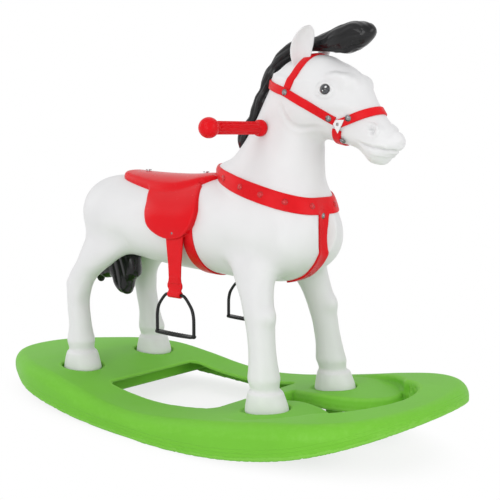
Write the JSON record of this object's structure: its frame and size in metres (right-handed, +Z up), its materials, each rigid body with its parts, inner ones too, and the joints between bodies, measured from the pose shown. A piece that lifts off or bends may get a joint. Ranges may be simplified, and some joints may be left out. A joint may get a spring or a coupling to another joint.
{
  "type": "rocking horse",
  "caption": "Child's rocking horse with a blow-moulded white horse, red saddle, bridle and hinged stirrups on a green boat-shaped rocker.",
  "frame": {"origin": "on the floor plane at the lowest line of the rocker, under the middle of the four hooves and of the width", "axes": "+X towards the horse's nose, +Y to the horse's left, +Z up"},
  "size_m": [1.073, 0.4776, 0.7425],
  "materials": {
    "white_shell": "satin white blow-moulded plastic",
    "white_trim": "glossy white moulded plastic",
    "green_shell": "satin green blow-moulded plastic",
    "red_plastic": "glossy red moulded plastic",
    "red_strap": "soft red vinyl strap",
    "black_hair": "glossy black moulded hair",
    "black_plastic": "satin black plastic",
    "eye": "dark glossy eye",
    "steel": "zinc plated steel",
    "rivet": "bright metallised plastic"
  },
  "bodies": {
    "horse": {"rocker_base": "green_shell", "body_shell": "white_shell", "head_shell": "white_shell", "ear_left": "white_shell", "ear_right": "white_shell", "hoof_screws": "steel", "hoof_washers": "steel", "handle_tube": "steel", "saddle_screws": "steel", "hoof_inserts": "black_plastic", "eye_left": "eye", "eye_right": "eye", "grip_left": "red_plastic", "grip_right": "red_plastic", "saddle": "red_plastic", "girth_strap": "red_strap", "collar_strap": "red_strap", "breast_strap": "red_strap", "cheek_strap": "red_strap", "brow_band": "red_strap", "nose_band": "red_strap", "chin_strap": "red_strap", "mane": "black_hair", "forelock": "black_hair", "tail": "black_hair", "bridle_ring_left": "white_trim", "bridle_ring_right": "white_trim", "bridle_rivets": "rivet", "collar_rivets": "rivet", "pivot_rivet_left": "rivet", "pivot_rivet_right": "rivet"},
    "leather_left": {"stirrup_leather_left": "red_strap"},
    "leather_right": {"stirrup_leather_right": "red_strap"},
    "stirrup_left": {"stirrup_left": "black_plastic"},
    "stirrup_right": {"stirrup_right": "black_plastic"}
  },
  "joints": [
    {"name": "leather_swing_left", "type": "hinge", "parent": "horse", "child": "leather_left", "pos_m": [0.026, 0.1023, 0.369], "axis": [0, 1, 0], "range_deg": [-30, 35]},
    {"name": "stirrup_swing_left", "type": "hinge", "parent": "leather_left", "child": "stirrup_left", "pos_m": [0.026, 0.1023, 0.252], "axis": [1, 0, 0], "range_deg": [-30, 60]},
    {"name": "leather_swing_right", "type": "hinge", "parent": "horse", "child": "leather_right", "pos_m": [0.026, -0.1023, 0.369], "axis": [0, 1, 0], "range_deg": [-30, 35]},
    {"name": "stirrup_swing_right", "type": "hinge", "parent": "leather_right", "child": "stirrup_right", "pos_m": [0.026, -0.1023, 0.252], "axis": [-1, 0, 0], "range_deg": [-30, 60]}
  ]
}
